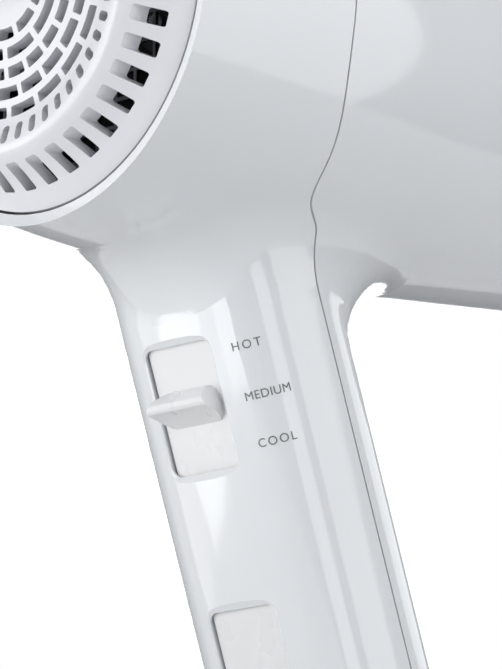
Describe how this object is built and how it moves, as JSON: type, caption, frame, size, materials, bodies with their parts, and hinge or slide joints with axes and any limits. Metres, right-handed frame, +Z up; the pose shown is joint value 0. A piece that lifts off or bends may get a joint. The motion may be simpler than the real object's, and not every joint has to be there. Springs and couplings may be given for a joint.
{
  "type": "hair dryer",
  "caption": "Pistol-grip hair dryer with domed slotted rear intake, tapered barrel, heater, fan and slide switches on the handle.",
  "frame": {"origin": "on the barrel's axis, at the middle of the nozzle seat on the outlet collar", "axes": "+X along the barrel the way the air leaves, +Z up away from the handle, Y across"},
  "size_m": [0.1764, 0.076, 0.2107],
  "materials": {
    "housing": "gloss",
    "grille": "gloss",
    "switch": "satin gloss",
    "inner_plastic": "fine matte",
    "mesh": "woven wire",
    "motor_steel": "zinc plated",
    "ferrite": "sintered",
    "steel": "satin",
    "copper": "enamelled windings",
    "brass": "stamped",
    "carbon": "pressed carbon",
    "rubber": "soft satin",
    "mica": "flaky sheet",
    "heating_wire": "oxidised",
    "outlet_black": "heat-resistant matte",
    "board": "phenolic board",
    "component": "moulded",
    "lead": "insulated"
  },
  "bodies": {
    "dryer": {"rear_housing": "housing", "front_housing": "housing", "outlet_collar": "grille", "fan_duct": "inner_plastic", "motor_end_cap": "inner_plastic", "temp_switch_body": "inner_plastic", "power_switch_body": "inner_plastic", "cord_clamp": "inner_plastic", "motor_can": "motor_steel", "motor_magnets": "ferrite", "rear_bearing": "steel", "front_bearing": "steel", "handle_screws": "steel", "clamp_screws": "steel", "thermal_fuse": "steel", "temp_terminals": "brass", "power_terminals": "brass", "thermostat": "brass", "motor_brushes": "carbon", "motor_mount": "rubber", "cord_bush": "rubber", "heater_sleeve": "mica", "heater_frame": "mica", "outer_heating_coil": "heating_wire", "inner_heating_coil": "heating_wire", "outlet_grille": "outlet_black", "switch_board": "board", "suppression_capacitor": "component", "rectifier_diodes": "component", "heater_leads": "lead", "motor_leads": "lead", "supply_leads": "lead"},
    "grille": {"rear_grille": "grille", "filter_mesh": "mesh"},
    "rotor": {"motor_shaft": "steel", "impeller": "inner_plastic", "armature": "copper", "commutator": "copper"},
    "temp_switch": {"temp_slider": "switch", "temp_contact": "brass"},
    "power_switch": {"power_slider": "switch", "power_contact": "brass"}
  },
  "joints": [
    {"name": "grille_pull", "type": "slide", "parent": "dryer", "child": "grille", "axis": [-1, 0, 0], "range_m": [0, 0.03]},
    {"name": "fan_spin", "type": "hinge", "parent": "dryer", "child": "rotor", "pos_m": [-0.12, 0, 0], "axis": [1, 0, 0], "continuous": true},
    {"name": "temp_slide", "type": "slide", "parent": "dryer", "child": "temp_switch", "axis": [-0.3345, 0, 0.9424], "range_m": [-0.0045, 0.0045]},
    {"name": "power_slide", "type": "slide", "parent": "dryer", "child": "power_switch", "axis": [-0.3345, 0, 0.9424], "range_m": [0, 0.009]}
  ]
}
